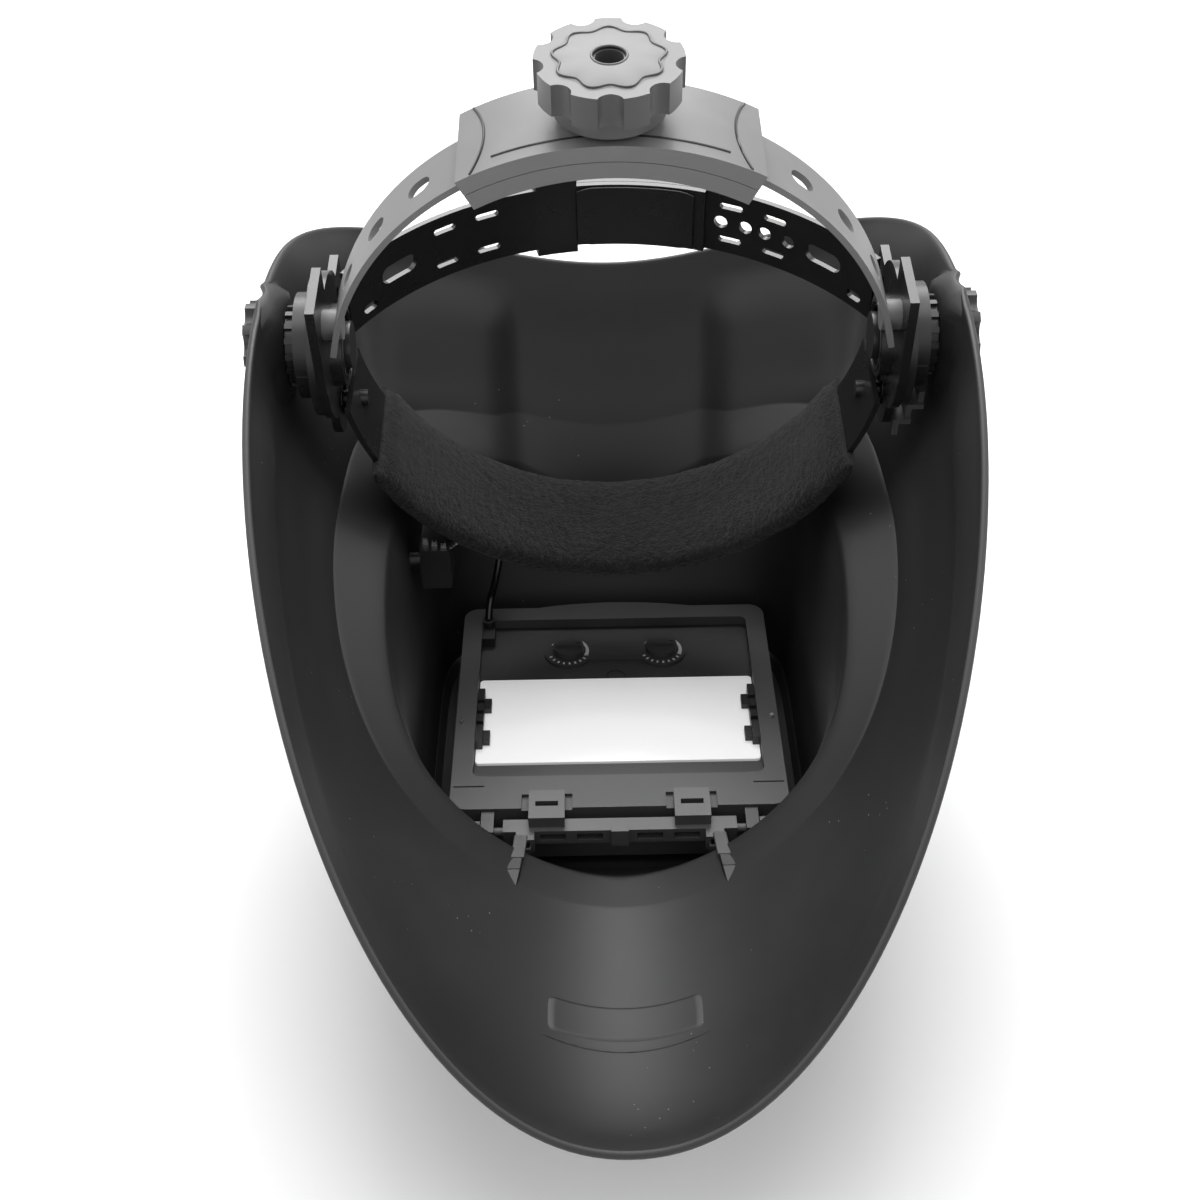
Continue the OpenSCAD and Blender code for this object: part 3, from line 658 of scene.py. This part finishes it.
# %% [markdown]
# Under the filter, two spring legs reach from the latch to the ledge and end in dark wedge
# tips, and a tapered tab on each side keeps the frame centred between the walls.

# %% Spring legs, side tabs and clip pins
def spring_legs():
    mesh = bmesh.new()
    for side in (-1, 1):
        add_bar(mesh, ((side * 34.2, -71.5, 30.2), (2.3, 0, 0.8)),
                ((side * 35, -84, 32.6), (2.3, 0, 0.6)))
    return finish_mesh(mesh, "spring_legs")


def spring_tips():
    mesh = bmesh.new()
    for side in (-1, 1):
        add_bar(mesh, ((side * 35, -84.1, 32.2), (1.8, 0, 0.9)),
                ((side * 36.4, -90, 32.6), (2.6, 0, 1.3)))
        add_bar(mesh, ((side * 36.4, -90.1, 32.6), (2.6, 0, 1.3)),
                ((side * 35.8, -96.5, 32.2), (0.8, 0, 0.4)))
    return finish_mesh(mesh, "spring_tips")


def side_tabs():
    mesh = bmesh.new()
    for side in (-1, 1):
        add_bar(mesh, ((side * 58, -57.5, 24.5), (0, 2.4, 2.2)),
                ((side * 69, -55.5, 26), (0, 1.0, 1.2)))
    return finish_mesh(mesh, "side_tabs")


legs = add_piece("spring_legs", spring_legs(), "helmet", "latch_plastic")
tips = add_piece("spring_tips", spring_tips(), "helmet", "clip_plastic")
tabs = add_piece("side_tabs", side_tabs(), "helmet", "clip_plastic")
for piece in (legs, tips, tabs):
    rounded(piece)

# %% Pins at the lens clips and contacts on the shade control
def small_pins():
    mesh = bmesh.new()
    for side in (-1, 1):
        foot = Vector(to_row(Vector((side * 57.6, -11.5, 29.8))))
        add_tube(mesh, [foot, foot + Vector((0, 0, 1.6 * MM))], 0.75 * MM, sides=14)
    for k in range(3):
        start = Vector((-69.5 + 3.4 * k, 24.5 - 1.2 * k, 86.4))
        add_bar(mesh, (start, (1.1, 0.7, 0)), (start + Vector((0, 0, 2.2)), (0.9, 0.5, 0)))
    bent = [(-62, 24, 84), (-60.2, 22.6, 86), (-57.6, 22, 88.6), (-54.6, 22.4, 90)]
    add_tube(mesh, [Vector(to_row(Vector(q))) for q in bent], 0.7 * MM)
    return finish_mesh(mesh, "small_pins")


pins = add_piece("small_pins", small_pins(), "helmet", "screw_steel")
print("fittings", [round(v, 4) for v in legs.dimensions], [round(v, 4) for v in pins.dimensions])

# %% [markdown]
# Inside the chin the mould leaves a shallow plate with a rounded outline, and a scribed line
# under it. The plate is a small grid laid on the shell, so it follows its curve exactly.

# %% Chin plate
shell_tree = BVHTree.FromPolygons([v.co.copy() for v in shell.data.vertices],
                                  [tuple(q.vertices) for q in shell.data.polygons])
TALL = 0.3


def on_shell(x, y, lift):
    place, normal, _, _ = shell_tree.ray_cast(Vector((*to_row(Vector((x, y, 0)))[:2], TALL)),
                                              Vector((0, 0, -1)))
    if normal.z < 0:
        normal = -normal
    return place + normal * lift * MM


def chin_plate(half_w=25.5, y0=-154.5, y1=-139.5, raise_mm=0.5):
    mesh = bmesh.new()
    across, deep = 40, 16
    grid = []
    for j in range(deep + 1):
        v = 2 * j / deep - 1
        row = []
        for i in range(across + 1):
            u = 2 * i / across - 1
            edge = max(abs(u) ** 6, abs(v) ** 4)
            pull = 1 - 0.06 * abs(v) ** 5
            lift = raise_mm if edge < 0.6 else -0.4 * (edge - 0.6) / 0.4
            row.append(mesh.verts.new(on_shell(half_w * u * pull, y0 + (y1 - y0) * (v + 1) / 2
                                               - 2.2 * (1 - u * u), lift)))
        grid.append(row)
    for low, high in zip(grid, grid[1:]):
        for i in range(across):
            mesh.faces.new((low[i], low[i + 1], high[i + 1], high[i]))
    return finish_mesh(mesh, "chin_plate")


def scribed_line(half_w=25.5, y_mid=-160.5, bow=3.6):
    mesh = bmesh.new()
    path = [on_shell(half_w * u, y_mid + bow * u * u, 0.05)
            for u in (k / 24 - 1 for k in range(49))]
    add_tube(mesh, path, 0.3 * MM, sides=6)
    return finish_mesh(mesh, "scribed_line")


plate = add_piece("chin_plate", chin_plate(), "helmet", "shell_plastic", 50)
line = add_piece("chin_line", scribed_line(), "helmet", "clip_plastic", 60)
print("chin plate", [round(v, 4) for v in plate.dimensions])

# %% [markdown]
# The ratchet knob is a soft grip: its face rises in a shallow dome and carries a raised line
# that runs parallel to the lobes. The grey case behind it closes with a dark seam at each end.

# %% Knob face
CASE_R = 97.4
KNOB_FACE = -(CASE_R + 1.5 + 16.0)
DROP = 14.0
LOBES = 9


def knob_face():
    mesh = bmesh.new()
    rings, around = 12, 108
    rows = []
    for k in range(rings + 1):
        u = k / rings
        row = []
        for j in range(around):
            a = 2 * math.pi * j / around
            outer = 18.2 + 0.9 * math.cos(LOBES * a)
            r = 5.2 + (outer - 5.2) * u
            rise = 1.1 * (1 - u ** 2.2) - 0.25
            row.append(mesh.verts.new(head_point(r * math.sin(a), KNOB_FACE - rise,
                                                 -DROP + r * math.cos(a))))
        rows.append(row)
    for low, high in zip(rows, rows[1:]):
        for j in range(around):
            i = (j + 1) % around
            mesh.faces.new((low[j], low[i], high[i], high[j]))
    collar = [head_point(5.2 * math.sin(a), KNOB_FACE - 0.7, -DROP + 5.2 * math.cos(a))
              for a in (2 * math.pi * k / 48 for k in range(48))]
    add_tube(mesh, collar, 0.45 * MM, closed=True, sides=8)
    wave = []
    for j in range(144):
        a = 2 * math.pi * j / 144
        r = 15.6 + 1.1 * math.cos(LOBES * a)
        wave.append(head_point(r * math.sin(a), KNOB_FACE - 0.22, -DROP + r * math.cos(a)))
    add_tube(mesh, wave, 0.42 * MM, closed=True, sides=8)
    return finish_mesh(mesh, "knob_face")


finish["knob_grey"] = plastic("knob_grey", grey(0.075), grey(0.1), (0.35, 0.5), 1500.0)
face = add_piece("knob_face", knob_face(), "ratchet_dial", "grey_plastic", 60, "knob_grey")


# %% Case seams
def case_seams():
    mesh = bmesh.new()
    for side in (-1, 1):
        path = []
        for k in range(21):
            v = k / 10 - 1
            a = math.radians(270 + side * (22.6 + 2.4 * v * v))
            path.append(head_point((CASE_R + 0.05) * math.cos(a), (CASE_R + 0.05) * math.sin(a),
                                   -DROP + 17.4 * v))
        add_tube(mesh, path, 0.45 * MM, sides=6)
    low_edge = [head_point(CASE_R * math.cos(a) + 0.0, (CASE_R + 0.05) * math.sin(a), -DROP - 12.5)
                for a in (math.radians(270 - 21 + 42 * k / 40) for k in range(41))]
    add_tube(mesh, low_edge, 0.4 * MM, sides=6)
    return finish_mesh(mesh, "case_seams")


seams = add_piece("case_seams", case_seams(), "headgear", "clip_plastic", 60)
print("knob face", len(face.data.polygons), "seams", len(seams.data.polygons))

# %% [markdown]
# The crown strap closes in a buckle: a loop with rounded shoulders, a light lug on its upper
# edge, and a tongue that lies over the strap. The strap is an arc about Y, so one function
# gives a place on it from a tilt and a distance across.

# %% Buckle
CROWN_H, PLATE_X = 74.0, 94.6
rise_h = CROWN_H - 22
CROWN_R = ((PLATE_X - 1) ** 2 + rise_h ** 2) / (2 * rise_h)


def on_crown(tilt, across, lift):
    a = math.radians(tilt)
    return head_point((CROWN_R + lift) * math.sin(a), across,
                      CROWN_H - CROWN_R + (CROWN_R + lift) * math.cos(a))


def add_patch(mesh, t0, t1, half_w, lift, thick, steps=16):
    rows = []
    for k in range(steps + 1):
        u = k / steps
        pull = 1 - 0.1 * max(0, abs(2 * u - 1) - 0.8) / 0.2
        rows.append([mesh.verts.new(on_crown(t0 + (t1 - t0) * u, y * pull, h))
                     for y, h in ((-half_w, lift), (half_w, lift),
                                  (half_w * 0.97, lift + thick), (-half_w * 0.97, lift + thick))])
    for low, high in zip(rows, rows[1:]):
        for j in range(4):
            i = (j + 1) % 4
            mesh.faces.new((low[j], low[i], high[i], high[j]))
    mesh.faces.new(rows[0][::-1])
    mesh.faces.new(rows[-1])


def buckle_tongue():
    mesh = bmesh.new()
    add_patch(mesh, -6.2, 17.0, 12.6, -3.2, 1.1)
    add_patch(mesh, -14.5, -5.5, 16.6, 4.2, 1.0)
    return finish_mesh(mesh, "buckle_tongue")


def buckle_lug():
    mesh = bmesh.new()
    for tilt in (-12.5, -11.0, -9.5, -8.0):
        add_tube(mesh, [on_crown(tilt, -17.4, 0.5), on_crown(tilt, -17.4, 4.6)], 1.3 * MM, sides=12)
    return finish_mesh(mesh, "buckle_lug")


tongue = add_piece("buckle_tongue", buckle_tongue(), "headgear", "band_plastic", 40)
lug = add_piece("buckle_lug", buckle_lug(), "headgear", "grey_plastic", 60)
for piece in (tongue, lug):
    rounded(piece)
print("buckle", [round(v, 4) for v in tongue.dimensions])


# %% Side plate rings
def plate_rings():
    mesh = bmesh.new()
    for side in (-1, 1):
        for y, z, r in ((24.0, 0.0, 5.2), (0.0, 0.0, 11.6)):
            loop = [head_point(side * (PLATE_X - 0.1 if r < 8 else PLATE_X - 4.3),
                               y + r * math.cos(a), z + r * math.sin(a))
                    for a in (2 * math.pi * k / 40 for k in range(40))]
            add_tube(mesh, loop, 0.5 * MM, closed=True, sides=8)
    return finish_mesh(mesh, "plate_rings")


rings = add_piece("plate_rings", plate_rings(), "headgear", "band_plastic", 60)
print("rings", len(rings.data.polygons))

# %% [markdown]
# The pieces that the frame already shapes well keep that shape. Each one gets its finish, and
# a narrow bevel, because a real moulded edge always catches a thin line of light.

# %% Finishes for the frame's own pieces
node_slot = {s["node"]: s["material_slot"] for s in frame["record"]["subparts"]}
special = {"ratchet_knob": "knob_grey"}
for name, node in nodes.items():
    if node.hide_render:
        continue
    node.data.materials.clear()
    node.data.materials.append(finish[special.get(name, node_slot[name])])
    soft = node.modifiers.new("edge", "BEVEL")
    soft.width = 0.35 * MM
    soft.segments = 2
    soft.limit_method = "ANGLE"
    soft.angle_limit = math.radians(40)
    soft.harden_normals = False
print("finished nodes", sum(not n.hide_render for n in nodes.values()))

# %% [markdown]
# The set is a pale floor and soft light from above and behind, which rolls off the inside of
# the chin and leaves the crown in shade. The camera sees the floor and the world as white.

# %% Floor and lights
def studio_floor():
    mesh = bmesh.new()
    bmesh.ops.create_grid(mesh, x_segments=2, y_segments=2, size=3)
    data = bpy.data.meshes.new("floor")
    mesh.to_mesh(data)
    mesh.free()
    floor = bpy.data.objects.new("floor", data)
    bpy.context.scene.collection.objects.link(floor)
    floor.location.z = -0.0005
    material = bpy.data.materials.new("floor_white")
    material.use_nodes = True
    material.node_tree.nodes["Principled BSDF"].inputs["Base Color"].default_value = grey(0.9)
    material.node_tree.nodes["Principled BSDF"].inputs["Roughness"].default_value = 0.9
    data.materials.append(material)


def area_light(name, place, target, size, power):
    data = bpy.data.lights.new(name, "AREA")
    data.size = size
    data.energy = power
    lamp = bpy.data.objects.new(name, data)
    bpy.context.scene.collection.objects.link(lamp)
    lamp.location = place
    aim = Vector(target) - Vector(place)
    lamp.rotation_euler = aim.to_track_quat("-Z", "Y").to_euler()


studio_floor()
area_light("key_back", (0, 1.1, 1.3), (0, 0, 0.12), 0.9, 20)
area_light("top", (0, 0.1, 1.6), (0, 0, 0.1), 1.2, 12)
area_light("left", (-1.2, 0.1, 0.9), (0, 0, 0.1), 1.0, 6)
area_light("right", (1.2, 0.1, 0.9), (0, 0, 0.1), 1.0, 6)

world = bpy.data.worlds.new("studio")
bpy.context.scene.world = world
world.use_nodes = True
tree = world.node_tree
soft_light = tree.nodes["Background"]
soft_light.inputs["Color"].default_value = grey(1.0)
soft_light.inputs["Strength"].default_value = 0.6
white = tree.nodes.new("ShaderNodeBackground")
white.inputs["Strength"].default_value = 1.0
white.inputs["Color"].default_value = grey(1.0)
paths = tree.nodes.new("ShaderNodeLightPath")
seen = maths(tree, "MAXIMUM", paths.outputs["Is Camera Ray"],
             maths(tree, "MAXIMUM", paths.outputs["Is Glossy Ray"],
                   paths.outputs["Is Transmission Ray"]))
choose = tree.nodes.new("ShaderNodeMixShader")
tree.links.new(seen, choose.inputs[0])
tree.links.new(soft_light.outputs[0], choose.inputs[1])
tree.links.new(white.outputs[0], choose.inputs[2])
tree.links.new(choose.outputs[0], tree.nodes["World Output"].inputs["Surface"])
